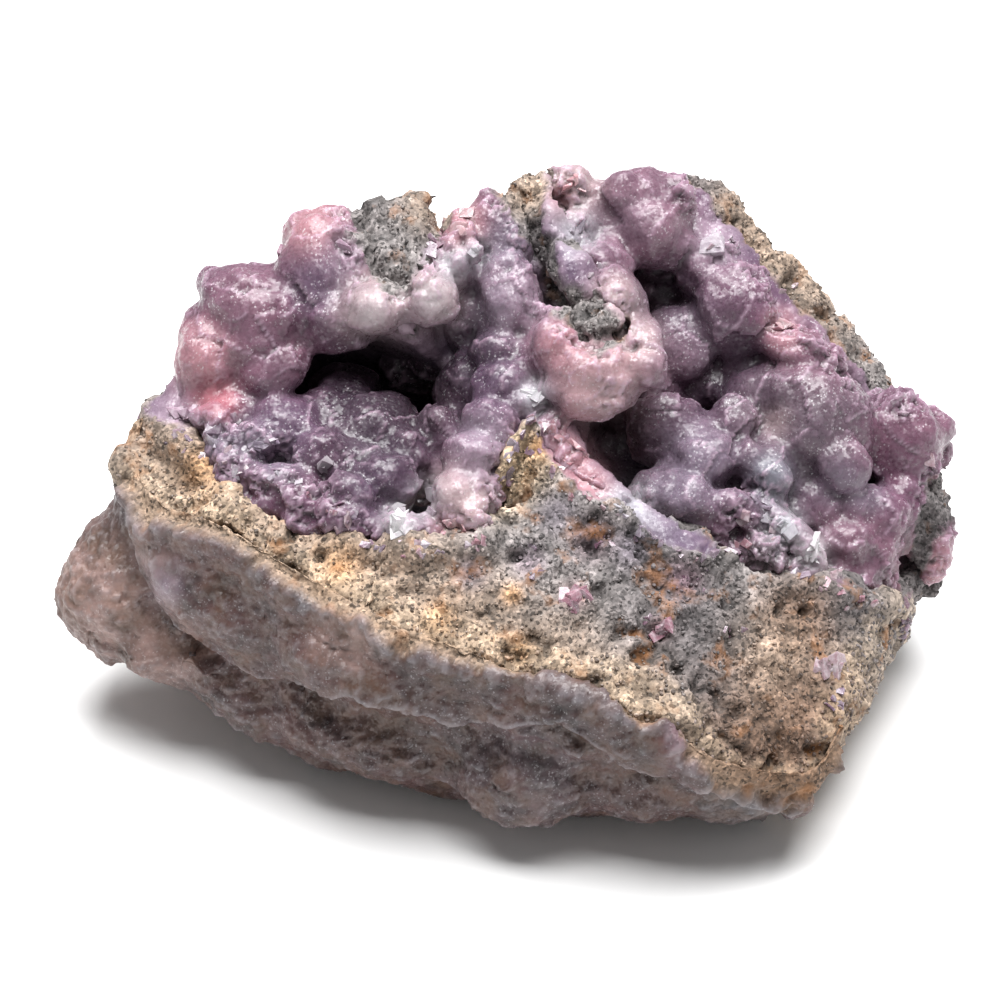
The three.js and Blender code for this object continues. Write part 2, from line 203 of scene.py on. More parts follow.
OUTER_PATCHES = [
    (-40, -9, 6, "brown_pink"), (-36, -16, 4, "brown_pink"), (-37.5, -1, 4, "grey_mauve"),
    (-27, -8, 5, "brown_mauve"), (-33.5, -8, 2, "lavender"), (3, -26, 5, "grey_mauve"),
    (18, -24, 2, "mauve"), (2, -19.5, 4, "brown_mauve"), (24, -31, 3, "slate"),
    (-15, -14, 3, "brown_pink"), (15, -26, 5, "umber"), (-8, -20, 5, "umber"),
    (-20, -19, 3, "brown_mauve"),
]

# Rounded growths on the crusts: (across, rise, front, half width, half height, turn in degrees).
# The front is how far towards the camera the growth reaches.
GROWTHS = [
    # left lobe
    (-29.5, 14.4, 6.4, 3.4, 5.3, 12), (-24.5, 18, 7.8, 5.2, 6, 0), (-27.4, 21.4, 5.6, 3, 2.6, 20),
    (-19, 22.8, 7.6, 4.4, 5.8, -10), (-23, 13.4, 7.9, 4, 2.8, 25), (-19.6, 26.8, 4.8, 2.6, 2.7, 0),
    (-16.7, 18.2, 7.6, 3, 2.4, 0), (-12.8, 19.4, 9.6, 3.2, 3.1, 10), (-7, 20.4, 9.6, 2.8, 3.1, 0),
    (-16.4, 27.2, 5, 2.8, 3.2, 0), (-14.4, 23.2, 6.8, 2.4, 2.6, 0), (-21.5, 19, 7.6, 2.6, 3, 0),
    (-15, 24.4, 6.6, 2.2, 3, 0), (-6, 23.4, 6.8, 2.2, 2.2, 0), (-4.2, 23.8, 7.2, 1.1, 1.1, 0),
    (-2.6, 25, 6.8, 1, 1, 0), (-5, 25.2, 6.4, 1.1, 1, 0), (-3.7, 26.6, 5.8, 1.4, 1.6, 0),
    # floor of the left hollow
    (-13.6, 6.2, 7.4, 5.6, 5.6, 0), (-21.5, 7.5, 9, 3.6, 3.2, -15), (-16, 10.8, 3, 3.2, 2.4, 0),
    (-18, 4.5, 10.4, 3.2, 2.6, -20), (-11.5, 2, 11.8, 3.2, 3, 0), (-25, 6, 9.8, 2.6, 2.2, -20),
    (-28.5, 8, 8.4, 2.6, 2, -20), (-15, 0.8, 13.2, 2.8, 2, -20), (-17.5, 8.6, 5.6, 3.6, 2.8, 0),
    (-9.4, 4, 8.4, 2.6, 3.4, 0), (-7.4, 2.6, 6.6, 2.4, 3.2, 0), (-6, 6.4, 6.4, 2.4, 3.4, 0),
    (-6, 15.4, 0.6, 3.2, 3.6, 0), (-4.4, 10.6, 3.4, 2.4, 3.2, 0), (-9.5, 13.6, -3, 3.2, 2.8, 0),
    # lower edge of the left hollow
    (-26.5, 3.6, 10.8, 2.8, 1.5, -28), (-23.4, 1.6, 12, 2.8, 1.5, -32),
    (-20.2, -0.2, 13, 2.8, 1.5, -32), (-16.8, -2, 14, 2.8, 1.5, -25),
    (-27, 1.9, 10.4, 2.4, 1.4, -30), (-23.8, -0.3, 11.7, 2.6, 1.4, -32),
    (-20, -2.3, 12.9, 2.6, 1.4, -32),
    # wall between the hollows
    (-3.4, 19.5, 3.6, 3.2, 4.6, 10), (1.2, 20, 6.8, 3.2, 4.6, 15), (0, 26, 4.4, 3.4, 4.2, 0),
    (-0.5, 28.5, 3.4, 2.8, 2.6, 0), (0.5, 23.5, 5.6, 2.2, 1.6, 20), (0, 15, 6.8, 3, 3.2, 0),
    (-3, 12.5, 4.6, 2.6, 3.2, 0), (0.5, 11.5, 9, 3.4, 2.6, 20), (3, 9.8, 9.4, 2.8, 2.4, 0),
    (-1.2, 7.5, 11.6, 3, 3.2, 0), (-3, 4.5, 13.4, 2.8, 2.6, 0), (-4.5, 0.5, 15, 2.6, 3, 10),
    (-2, 1, 13.8, 2.4, 2.6, 0), (-3.2, -1.4, 15.2, 2.2, 1.7, 0),
    # top and knob
    (7, 31.7, 2.4, 2.4, 2.2, 0), (7.6, 27.6, 2.8, 1.9, 1.9, 0), (7.3, 25, 3.6, 1.9, 1.7, 0),
    (15, 28.2, 2.8, 4.9, 4.9, 0), (12.8, 30.8, 2.8, 2.9, 2.4, 20), (18, 30, 1.6, 2, 2.4, 0),
    (11.8, 20.2, 8.6, 2.6, 3.4, 15), (10, 23.8, 5.2, 2.4, 2.4, 0), (16, 21, -4, 3.8, 3.2, 0),
    (9.2, 12.6, 12.9, 5.2, 4, 0), (14.8, 13.4, 11.4, 2, 2.3, 0), (9, 10.2, 12.6, 3.4, 2.1, 0),
    (5.6, 15.6, 11.4, 2.4, 2.8, 0),
    # band of pink crust
    (4.8, 6.8, 10.6, 2.4, 2.2, 0), (7, 4.2, 11, 2.8, 1.8, -45), (9.4, 1.8, 11.5, 3, 1.4, -35),
    # right hollow
    (23.8, 19.8, 2.4, 3.9, 5.2, 10), (20, 23.2, 0.4, 2.8, 3, 0), (18.5, 15.8, -0.6, 4.2, 4.2, 0),
    (21.5, 11.5, -3, 3.6, 2.8, 0), (24.5, 14.8, -1, 2.8, 2.6, 0), (15.5, 11, -0.8, 3.2, 3.2, 0),
    (16.9, 7, 4.8, 4, 3.8, 0), (20.8, 3.9, 7.2, 3.3, 3.3, 0), (23.5, 7.8, 4.6, 2.6, 2.8, 0),
    (26.5, 2.9, 6.6, 2.4, 2.6, 0), (25, 4.5, 6.2, 1.8, 1.8, 0), (27.8, 2, 6.8, 1.8, 1.8, 0),
    (30.2, 15, 2.6, 5.4, 2.3, -22), (31.5, 7.6, 5.2, 5.8, 6.2, 0), (34.5, 3.5, 5.4, 2.8, 3.2, 0),
    (29, 10.5, 3.8, 3.2, 3, 0), (40.5, 6, 0.8, 4.6, 5.6, 10), (43.5, 7, -2.4, 2.4, 2.6, 0),
    (38, -2, 2.6, 3.6, 3, 0), (31.5, -0.6, 3.8, 3.2, 2.6, 0), (35.5, -0.4, 3.4, 2.6, 2.2, 0),
    (35, -4.5, 4.6, 3.6, 3.4, 0), (40.5, 0, 0.4, 3, 3, 0), (19, 0, 9.4, 3.6, 2.6, -25),
    (23.5, -1, 9.2, 3.2, 2.4, -20), (29.5, -3.5, 8.6, 5, 1.5, -45), (26, -5.2, 8.8, 3.6, 2.2, -20),
    (30, -7, 7.8, 3.2, 2, -15),
]

OUTER_GROWTHS = [
    (-36, -16.4, 2.6, 3.6, 2, -30), (-37.4, 1.4, 6.5, 1.6, 2.6, -20),
    (2.8, -27.5, 14.8, 7.6, 5.2, 0), (-31.8, -16.2, 5, 0.9, 0.8, 0),
    (-30.6, -16.9, 5.4, 0.9, 0.8, 0), (-31, -15.4, 5.2, 0.8, 0.8, 0),
    (-29.8, -17.6, 5.6, 0.8, 0.8, 0), (-19, -20.5, 9, 1.4, 0.7, -20),
    (-12.5, -9.4, 16.6, 1.2, 0.9, -30), (8, -24.5, 17.6, 3, 2, -20),
]

# Clusters of small cleavage chips: (across, rise, spread, how many, largest size, colour).
CHIPS = [
    (-31.8, 8.2, 0.8, 4, 1.8, "lilac"), (-29.2, 6.4, 1.5, 7, 1.5, "lavender"),
    (-26.4, 6, 1.4, 6, 1.5, "lavender"), (-23.6, 5.4, 1.4, 6, 1.6, "lavender"),
    (-21, 4.2, 1.2, 4, 1.4, "lilac"), (-17.7, 3.2, 0.3, 3, 1.7, "white"),
    (-10.3, -1.9, 1.1, 13, 1.6, "white"), (-7.5, 0.1, 1, 4, 1.6, "lavender"),
    (-22.3, 25.4, 0.3, 2, 2, "lilac"), (-15.5, 25, 0.4, 3, 1.8, "lilac"),
    (-3.7, 27.4, 1.2, 5, 1.9, "blush"), (-2.4, 24.9, 0.9, 4, 1.5, "frost"),
    (-6, 25.6, 1.2, 4, 1.4, "lavender"), (3.4, 10.6, 0.5, 5, 1.7, "white"),
    (5.5, 6.8, 1.1, 4, 1.5, "pink"), (7.6, 4.2, 1.1, 4, 1.5, "pink"),
    (9.6, 1.4, 1.1, 4, 1.4, "lilac"), (13.2, -0.6, 1.4, 4, 1.2, "lavender"),
    (7.5, -9.8, 0.9, 8, 2, "pink"), (16, -13, 0.6, 5, 2, "pink"),
    (14.6, -11.6, 0.8, 3, 1.1, "mauve"), (9.8, 22.8, 0.7, 3, 1.2, "frost"),
    (7.8, 27.4, 0.8, 3, 1.3, "lavender"), (21.4, 25.8, 0.6, 5, 2.3, "frost"),
    (21.8, 25, 0.8, 3, 2, "blush"), (27.9, 17.7, 0.7, 5, 1.9, "blush"),
    (26.4, 0.2, 0.8, 3, 1.4, "lavender"), (28.4, -2.6, 0.9, 8, 1.5, "frost"),
    (31.2, -5.2, 0.9, 9, 1.6, "white"), (33, -7.6, 1, 3, 1.3, "blush"),
    (33, -17, 0.8, 6, 2.6, "blush"), (33.8, -20, 0.8, 5, 1.2, "lavender"),
    (43.2, 2.9, 0.8, 3, 1.4, "blush"), (40, 9.5, 1.2, 3, 1.2, "lilac"),
    (30.6, 21.6, 1.6, 4, 1.3, "blush"), (6.9, 31.4, 1.4, 4, 1.3, "coral"),
    (-2, -4.2, 1.2, 4, 1.2, "pink"), (-5, -2.6, 1.2, 4, 1.2, "pink"),
    (-15, -1.5, 1.2, 3, 1.2, "lilac"), (23, -14, 1.4, 4, 0.9, "mauve"),
    (20, -9, 1.4, 4, 0.9, "mauve"), (3, -6, 1.4, 5, 0.8, "lavender"),
    (11, -4, 1.6, 5, 0.9, "mauve"),
]
EDGE_CHIP_COLOURS = ["blush", "lilac", "frost", "pink", "lavender"]
EDGE_CHIP_STEP = 1.8
SHARD_KINDS = 8
GRAINS = 9500
GRAIN_LEVELS = [0.3, 0.6, 0.9, 1.1, 1.4]
GRAIN_SHARES = [0.1, 0.22, 0.33, 0.23, 0.12]

# Single spots, (across, rise, reach) in mm: the outer crust's left end, which is trimmed, a nub at
# its right end, which is smoothed away, and the broken face of the pink knob.
LEFT_END = (-42.0, -15.5, 3.5)
LEFT_END_TRIM = 2.4
NUB = (34.8, -26.0, 2.6)
NUB_SMOOTHING = 120
BROKEN_KNOB = (10.0, 13.0, 3.2)

# Other measures, in mm: how much the outer crust is thickened for its second mesh and how much of
# that is kept, the heights over which its relief and the rock's fade in above the floor, the size
# of the pits and the line of the groove beside the knob.
RIM_THICKENING = 0.45
RIM_KEPT = 0.4
OUTER_FOOT = (0.3, 2.0)
ROCK_FOOT = (0.3, 1.5)
PIT_SIZE = 2.6
GROOVE = [(3.0, 6.3), (-1.0, -3.0)]

# How strongly a patch covers the base colour at its middle, and how fast it fades.
PATCH_STRENGTH = 4.0
PATCH_FADE = 1.2

# Studio, in metres and watts: the light from all round, the lamp's place, target, size and power,
# the floor's size and the nearest that the camera sees.
WORLD_STRENGTH = 0.27
LIGHT_PLACE = (0.02, 0.11, 0.73)
LIGHT_TARGET = (0, 0, 0.02)
LIGHT_SIZE = 0.6
LIGHT_POWER = 15.5
FLOOR_SIZE = 4.0
CLIP_START = 0.01


def linear(name):
    """A named colour in linear light."""
    code = COLOURS[name].lstrip("#")
    shares = np.array([int(code[i:i + 2], 16) for i in (0, 2, 4)]) / 255
    return np.where(shares <= 0.04045, shares / 12.92, ((shares + 0.055) / 1.055) ** 2.4)


def smoothstep(low, high, values):
    share = np.clip((values - low) / (high - low), 0, 1)
    return share * share * (3 - 2 * share)


def sight(places):
    """Across, rise and out of each place, as the camera sees it."""
    offset = places - SIGHT_CENTRE
    out = offset @ OUT
    nearness = 1 - out / SIGHT_DISTANCE
    return np.stack([offset @ RIGHT / nearness, offset @ UP / nearness, out], axis=1)


def from_spot(points, spot):
    """How far sight points are from a spot, in mm."""
    return np.hypot(points[:, 0] - spot[0], points[:, 1] - spot[1])


def from_path(points, path):
    """How far sight points are from a line of straight stretches, in mm."""
    nearest = np.full(len(points), np.inf)
    for start, end in zip(np.array(path), np.array(path)[1:]):
        side = end - start
        along = np.clip((points - start) @ side / (side @ side), 0, 1)
        gap = points - start - along[:, None] * side
        nearest = np.minimum(nearest, np.hypot(gap[:, 0], gap[:, 1]))
    return nearest


def inside(points, outline):
    """How far each sight point lies inside an outline, in mm; below 0 outside."""
    corners = np.array([*outline, outline[0]])
    nearest = from_path(points, corners)
    within = np.zeros(len(points), bool)
    for start, end in zip(corners, corners[1:]):
        side = end - start
        crosses = (start[1] > points[:, 1]) != (end[1] > points[:, 1])
        slope = side[0] / side[1] if side[1] else 0.0
        within ^= crosses & (points[:, 0] < start[0] + (points[:, 1] - start[1]) * slope)
    return np.where(within, nearest, -nearest)


def inside_any(points, outlines):
    """How far each sight point lies inside the outline that it is deepest in, in mm."""
    return np.max([inside(points, outline) for outline in outlines], axis=0)


def scramble(cells, seed):
    """A number from 0 to 1 for each whole-number cell."""
    mixed = cells.astype(np.int64) @ np.array([73856093, 19349663, 83492791]) + seed * 2654435761
    mixed = (mixed ^ (mixed >> 13)) * 1274126177 & 0xFFFFFFFF
    mixed = (mixed ^ (mixed >> 16)) * 2246822519 & 0xFFFFFFFF
    return ((mixed ^ (mixed >> 15)) & 0xFFFFFF) / 0xFFFFFF


def noise(places, size, seed, octaves):
    """Smooth noise from -1 to 1, with lumps of the given size and finer ones on them."""
    total = np.zeros(len(places))
    for octave in range(octaves):
        scaled = places / size * 2**octave
        cell = np.floor(scaled)
        part = scaled - cell
        part = part * part * (3 - 2 * part)
        value = np.zeros(len(places))
        for corner in np.ndindex(2, 2, 2):
            weight = np.prod(np.where(corner, part, 1 - part), axis=1)
            value += weight * scramble(cell + corner, seed + octave)
        total += (2 * value - 1) / 2**octave
    return total


def cells(places, size, seed):
    """A random cell pattern: distances to the cells' middles, and heights of tilted facets."""
    scaled = places / size
    base = np.floor(scaled)
    nearest = np.full(len(places), 9.0)
    facet = np.zeros(len(places))
    for step in np.ndindex(3, 3, 3):
        cell = base + np.array(step) - 1
        gap = scaled - cell - np.stack([scramble(cell, seed + axis) for axis in range(3)], axis=1)
        distance = np.linalg.norm(gap, axis=1)
        tilt = np.stack([scramble(cell, seed + 3 + axis) for axis in range(3)], axis=1) - 0.5
        height = np.sum(tilt * gap, axis=1) + scramble(cell, seed + 6) - 0.5
        facet = np.where(distance < nearest, height, facet)
        nearest = np.minimum(nearest, distance)
    return nearest, facet


def node_mesh(node):
    """A copy of a node's mesh, in mm."""
    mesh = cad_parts[node].data.copy()
    mesh.transform(Matrix.Scale(1 / MM, 4))
    return mesh


def lump_shape(mesh):
    bmesh.ops.create_icosphere(mesh, subdivisions=4, radius=1.0)


def with_growths(surface, growths, seed):
    """A mesh of a surface and the rounded growths on it, in mm."""
    shape, sides = unit_shape(lump_shape)
    places, faces, start = [surface.places], surface.quads.tolist(), len(surface.places)
    for across, rise, front, wide, tall, turn in growths:
        seed += 1
        near = 1 - front / SIGHT_DISTANCE
        half = near * np.array([wide, tall, (wide + tall) / 2])
        middle = SIGHT_CENTRE + near * (across * RIGHT + rise * UP) + (front - half[2]) * OUT
        cosine, sine = math.cos(math.radians(turn)), math.sin(math.radians(turn))
        axes = np.array([cosine * RIGHT + sine * UP, cosine * UP - sine * RIGHT, OUT])
        lump = shape * (1 + 0.17 * noise(shape, 0.8, seed, 2))[:, None]
        places.append(middle + (lump * half) @ axes)
        faces += (sides + start).tolist()
        start += len(shape)
    mesh = bpy.data.meshes.new("grown")
    mesh.from_pydata(np.concatenate(places).tolist(), [], faces)
    return mesh


class Surface:
    """A closed mesh of even quads, in mm."""

    def __init__(self, mesh, cell, fill=0.0):
        """The outside of a mesh; creases narrower than about twice the fill are filled in."""
        scratch = bpy.data.objects.new("scratch", mesh)
        bpy.context.scene.collection.objects.link(scratch)
        for step in (fill, -fill) if fill else (0.0,):
            self.remesh(scratch, cell)
            if step:
                grow = scratch.modifiers.new("grow", "DISPLACE")
                grow.mid_level = 0
                grow.strength = step
        graph = bpy.context.evaluated_depsgraph_get()
        made = bpy.data.meshes.new_from_object(scratch.evaluated_get(graph))
        self.places = self.read(made.vertices, "co", float, 3)
        self.quads = self.read(made.loops, "vertex_index", int, 1).reshape(-1, 4)
        self.edges = self.read(made.edges, "vertices", int, 2)
        self.degree = np.bincount(self.edges.ravel(), minlength=len(self.places))
        bpy.data.objects.remove(scratch)
        bpy.data.meshes.remove(mesh)
        bpy.data.meshes.remove(made)
        self.drop_islands()

    def drop_islands(self):
        """Keeps the largest connected part of the mesh alone."""
        label, lower = None, np.arange(len(self.places))
        while label is None or (lower != label).any():
            label, lower = lower, lower.copy()
            np.minimum.at(lower, self.edges[:, 0], label[self.edges[:, 1]])
            np.minimum.at(lower, self.edges[:, 1], label[self.edges[:, 0]])
            lower = lower[lower]
        kept = label == np.bincount(label).argmax()
        place = np.cumsum(kept) - 1
        self.quads = place[self.quads[kept[self.quads[:, 0]]]]
        self.edges = place[self.edges[kept[self.edges[:, 0]]]]
        self.places, self.degree = self.places[kept], self.degree[kept]

    @staticmethod
    def remesh(scratch, cell):
        even = scratch.modifiers.new("even", "REMESH")
        even.mode = "VOXEL"
        even.voxel_size = cell

    @staticmethod
    def read(items, key, kind, width):
        values = np.empty(len(items) * width, kind)
        items.foreach_get(key, values)
        return values.reshape(-1, width)

    def around(self, values):
        """The mean of each vertex's neighbours."""
        ends = np.concatenate([self.edges, self.edges[:, ::-1]])
        columns = values.reshape(len(values), -1)
        sums = [np.bincount(ends[:, 0], column[ends[:, 1]], len(values)) for column in columns.T]
        return (np.stack(sums, axis=1) / self.degree[:, None]).reshape(values.shape)

    def smoothed(self, values, times):
        for _ in range(times):
            values = values + 0.5 * (self.around(values) - values)
        return values

    def smooth(self, times):
        self.places = self.smoothed(self.places, times)

    def normals(self):
        a, b, c, d = (self.places[self.quads[:, i]] for i in range(4))
        facing = np.cross(c - a, d - b)
        total = np.zeros_like(self.places)
        for corner in range(4):
            for axis in range(3):
                total[:, axis] += np.bincount(self.quads[:, corner], facing[:, axis], len(total))
        return total / np.maximum(np.linalg.norm(total, axis=1), 1e-9)[:, None]

    def push(self, distance):
        """Moves the surface outwards by a distance in mm, for all or for each vertex."""
        self.places = self.places + self.normals() * np.reshape(distance, (-1, 1))

    def bulge(self, spread):
        """How far the surface stands out from what is round it: above 0 on edges."""
        return np.sum((self.places - self.smoothed(self.places, spread)) * self.normals(), axis=1)


def painted(points, base, patches):
    """Colours of sight points: a base colour with soft patches over it."""
    total = np.tile(linear(base), (len(points), 1))
    weights = np.ones(len(points))
    for across, rise, reach, name in patches:
        gap = (points[:, 0] - across) ** 2 + (points[:, 1] - rise) ** 2
        weight = PATCH_STRENGTH * np.exp(-PATCH_FADE * gap / reach**2)
        total += weight[:, None] * linear(name)
        weights += weight
    return total / weights[:, None]


def hull_depth(places):
    """How far each place lies below the convex hull of them all, in mm."""
    hull = bmesh.new()
    for place in places[::4]:
        hull.verts.new(place)
    made = bmesh.ops.convex_hull(hull, input=hull.verts[:])
    spare = list({*made["geom_interior"], *made["geom_unused"]})
    bmesh.ops.delete(hull, geom=spare, context="VERTS")
    tree = BVHTree.FromBMesh(hull)
    hull.free()
    return np.array([tree.find_nearest(place)[3] for place in places])


def bareness(places, normals):
    """How bare the rock is, from 0 to 1: crust lines the hollows, but not inside BARE_ROCK."""
    points = sight(places)[:, :2]
    ragged = 0.7 * noise(places, 1.6, SEED, 2)
    in_front = smoothstep(-0.4, 0.4, inside_any(points, BARE_ROCK) + ragged)
    facing = smoothstep(-0.35, -0.1, normals @ OUT + 0.1 * noise(places, 4.0, SEED + 1, 2))
    display = inside(points, LINED)
    hollow = smoothstep(1.2, 2.2, hull_depth(places) + 0.5 * ragged)
    hollow *= smoothstep(-3.0, -2.0, display)
    frontal = smoothstep(0.35, 0.55, normals @ OUT) * smoothstep(-0.4, 0.4, display)
    return 1 - np.maximum(hollow, frontal) * facing * (1 - in_front)


def make_piece(name, places, faces, material, attributes, smooth):
    """A mesh object that rides on the specimen, with colours and numbers on its vertices."""
    mesh = bpy.data.meshes.new(name)
    mesh.from_pydata((places * MM).tolist(), [], faces.tolist())
    mesh.polygons.foreach_set("use_smooth", np.full(len(mesh.polygons), smooth))
    for key, values in attributes.items():
        if values.ndim == 2:
            stored = mesh.attributes.new(key, "FLOAT_COLOR", "POINT")
            stored.data.foreach_set("color", np.c_[values, np.ones(len(values))].ravel())
        else:
            mesh.attributes.new(key, "FLOAT", "POINT").data.foreach_set("value", values)
    mesh.materials.append(material)
    piece = bpy.data.objects.new(name, mesh)
    bpy.context.scene.collection.objects.link(piece)
    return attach(piece, "root")


class Nodes:
    """A material with short calls for its nodes."""

    def __init__(self, name):
        self.material = bpy.data.materials.new(name)
        self.material.use_nodes = True
        self.tree = self.material.node_tree
        self.shader = self.tree.nodes["Principled BSDF"]
        self.place = self.add("ShaderNodeTexCoord").outputs["Object"]

    def feed(self, socket, value):
        """Links an output to a socket, or sets the socket to a constant."""
        if isinstance(value, bpy.types.NodeSocket):
            self.tree.links.new(value, socket)
        else:
            socket.default_value = value

    def add(self, kind, sockets=None, **settings):
        """A new node: its settings, and what goes into its sockets."""
        node = self.tree.nodes.new(kind)
        for key, value in settings.items():
            setattr(node, key, value)
        for key, value in (sockets or {}).items():
            self.feed(node.inputs[key], value)
        return node

    def attribute(self, name, output="Fac"):
        return self.add("ShaderNodeAttribute", attribute_name=name).outputs[output]

    def noise(self, size, detail):
        """Soft noise from about 0.3 to 0.7, with lumps of the given size in mm."""
        sockets = {"Vector": self.place, "Scale": 1 / (size * MM), "Detail": detail}
        return self.add("ShaderNodeTexNoise", sockets).outputs["Fac"]

    def cells(self, size):
        """The outputs of a pattern of random cells of the given size in mm."""
        sockets = {"Vector": self.place, "Scale": 1 / (size * MM)}
        return self.add("ShaderNodeTexVoronoi", sockets).outputs

    def vectors(self, operation, first, second):
        return self.add("ShaderNodeVectorMath", {0: first, 1: second}, operation=operation).outputs

    def facets(self, size):
        """Heights, in metres, of small crystal faces that lean all ways."""
        cells = self.cells(size)
        gap = self.vectors("SUBTRACT", self.place, cells["Position"])["Vector"]
        lean = self.vectors("SUBTRACT", cells["Color"], (0.5, 0.5, 0.5))["Vector"]
        return self.vectors("DOT_PRODUCT", gap, lean)["Value"]

    def ramp(self, value, low, high, start=0.0, end=1.0):
        """A number that goes from start to end as the value goes from low to high."""
        limits = {"From Min": low, "From Max": high, "To Min": start, "To Max": end}
        return self.add("ShaderNodeMapRange", {"Value": value, **limits}).outputs["Result"]

    def blend(self, share, first, second):
        """A number between two numbers."""
        sockets = {0: share, 2: first, 3: second}
        return self.add("ShaderNodeMix", sockets, data_type="FLOAT").outputs[0]

    def mix(self, share, first, second, blend="MIX"):
        """A colour between two colours, or another blend of them."""
        sockets = {0: share, 6: first, 7: second}
        return self.add("ShaderNodeMix", sockets, data_type="RGBA", blend_type=blend).outputs[2]

    def steps(self, value, stops):
        """A colour ramp with hard steps: (where it starts, grey level)."""
        node = self.add("ShaderNodeValToRGB", {0: value})
        node.color_ramp.interpolation = "CONSTANT"
        while len(node.color_ramp.elements) < len(stops):
            node.color_ramp.elements.new(1.0)
        for element, (start, level) in zip(node.color_ramp.elements, stops):
            element.position = start
            element.color = (level, level, level, 1)
        return node.outputs[0]

    def bump(self, height, distance, strength, under=None):
        """Relief of a height map, distance mm deep, over other relief if there is any."""
        sockets = {"Strength": strength, "Distance": distance * MM, "Height": height}
        if under is not None:
            sockets["Normal"] = under
        return self.add("ShaderNodeBump", sockets).outputs["Normal"]

    def surface(self, **sockets):
        for key, value in sockets.items():
            self.feed(self.shader.inputs[key.replace("_", " ")], value)
        return self.material


def rgba(name):
    return (*linear(name), 1.0)


def grainy(nodes, tint, clouds):
    """Granular rock colour: light and dark grains over a tint, with clouds of rust."""
    pick = nodes.add("ShaderNodeSeparateColor", {0: nodes.cells(0.3)["Color"]})
    levels = [(0.0, 0.3), (0.1, 0.58), (0.28, 0.82), (0.5, 1.0), (0.74, 1.15), (0.92, 1.5)]
    grains = nodes.mix(1.0, tint, nodes.steps(pick.outputs[0], levels), "MULTIPLY")
    return nodes.mix(nodes.ramp(clouds, 0.56, 0.72, 0.0, 0.6), grains, rgba("rust"))


def specimen_material(name, roughness, glow, drusy, glint, shade, frost):
    """Waxy smithsonite, mottled, with painted rim light on its edges, drusy, with painted glints;
    granular rock where it is bare.
    """
    nodes = Nodes(name)
    bare = nodes.attribute("bare")
    tint = nodes.attribute("tint", "Color")
    clouds = nodes.noise(3.0, 4.0)
    fine = nodes.noise(0.6, 4.0)
    mottled = nodes.mix(nodes.ramp(clouds, 0.42, 0.68, 0.0, 0.35), tint, rgba(shade))
    frosted = nodes.mix(nodes.attribute("frost"), mottled, rgba(frost))
    # Painted glints: white specks, thickest where the mottling is lightest, stand in for sparkles
    # of light off tiny crystal faces.
    painted_glint_share = nodes.ramp(clouds, 0.6, 0.4, 0.02, glint)
    glints = nodes.ramp(nodes.cells(0.15)["Color"], 0.8, 0.88)
    glinting = nodes.mix(nodes.blend(glints, 0.0, painted_glint_share), frosted, rgba("white"))
    crust_gloss = nodes.ramp(fine, 0.35, 0.65, roughness - 0.1, roughness + 0.12)
    rock_gloss = nodes.ramp(fine, 0.35, 0.65, 0.7, 0.95)
    sugar = nodes.bump(nodes.facets(0.32), 1 / MM, nodes.ramp(bare, 0.0, 1.0, drusy, 0.7))
    sockets = {}
    if glow:
        sockets["Subsurface_Weight"] = nodes.ramp(bare, 0.0, 1.0, glow, 0.0)
        sockets["Subsurface_Radius"] = (1.0, 0.65, 0.8)
        sockets["Subsurface_Scale"] = 1.8 * MM
    return nodes.surface(
        Base_Color=nodes.mix(bare, glinting, grainy(nodes, tint, clouds)),
        Roughness=nodes.blend(bare, crust_gloss, rock_gloss),
        IOR=1.6,
        Specular_IOR_Level=0.36,
        Normal=nodes.bump(fine, 0.2, nodes.ramp(bare, 0.0, 1.0, 0.35, 0.7), sugar),
        **sockets,
    )


def grain_material():
    """Loose grains of the rock, clouded with grey."""
    nodes = Nodes("rock_grains")
    tint = nodes.attribute("tint", "Color")
    clouds = nodes.ramp(nodes.noise(0.3, 2.0), 0.4, 0.7, 0.0, 0.4)
    return nodes.surface(
        Base_Color=nodes.mix(clouds, tint, rgba("slate")),
        Roughness=nodes.ramp(nodes.noise(0.5, 2.0), 0.3, 0.7, 0.35, 0.8),
        Normal=nodes.bump(nodes.noise(0.15, 2.0), 0.04, 0.5),
    )


def chip_material():
    """Pale, waxy cleavage chips, clouded with white."""
    nodes = Nodes("cleavage_chips")
    tint = nodes.attribute("tint", "Color")
    clouds = nodes.ramp(nodes.noise(0.6, 4.0), 0.45, 0.7, 0.0, 0.3)
    return nodes.surface(
        Base_Color=nodes.mix(clouds, tint, rgba("white")),
        Roughness=nodes.ramp(nodes.noise(0.4, 2.0), 0.35, 0.65, 0.15, 0.4),
        IOR=1.6,
        Subsurface_Weight=0.4,
        Subsurface_Radius=(1.0, 0.8, 0.9),
        Subsurface_Scale=0.8 * MM,
        Normal=nodes.bump(nodes.noise(0.5, 3.0), 0.08, 0.5),
    )


def botryoids(places, size, seed):
    """Heights from 0 to 1 of small round lumps that meet in creases."""
    middle, _ = cells(places, size, seed)
    return np.sqrt(np.clip(1 - (middle / 0.95) ** 2, 0, 1))


def facets(places, size, seed):
    """Heights of about -0.7 to 0.7 of broken faces at all angles."""
    return cells(places, size, seed)[1]


def brokenness(places):
    """Where the crust is broken into cleavage chips, from 0 to 1."""
    points = sight(places)[:, :2]
    broken = smoothstep(-3.2, -0.6, inside_any(points, BARE_ROCK))
    spots = [(0.8, chip[:3]) for chip in CHIPS] + [(0.45, BROKEN_KNOB)]
    for most, spot in spots:
        far = smoothstep(spot[2], 2 * spot[2], from_spot(points, spot))
        broken = np.maximum(broken, most - most * far)
    return broken * smoothstep(-0.9, 0.2, noise(places, 2.5, SEED + 2, 2))


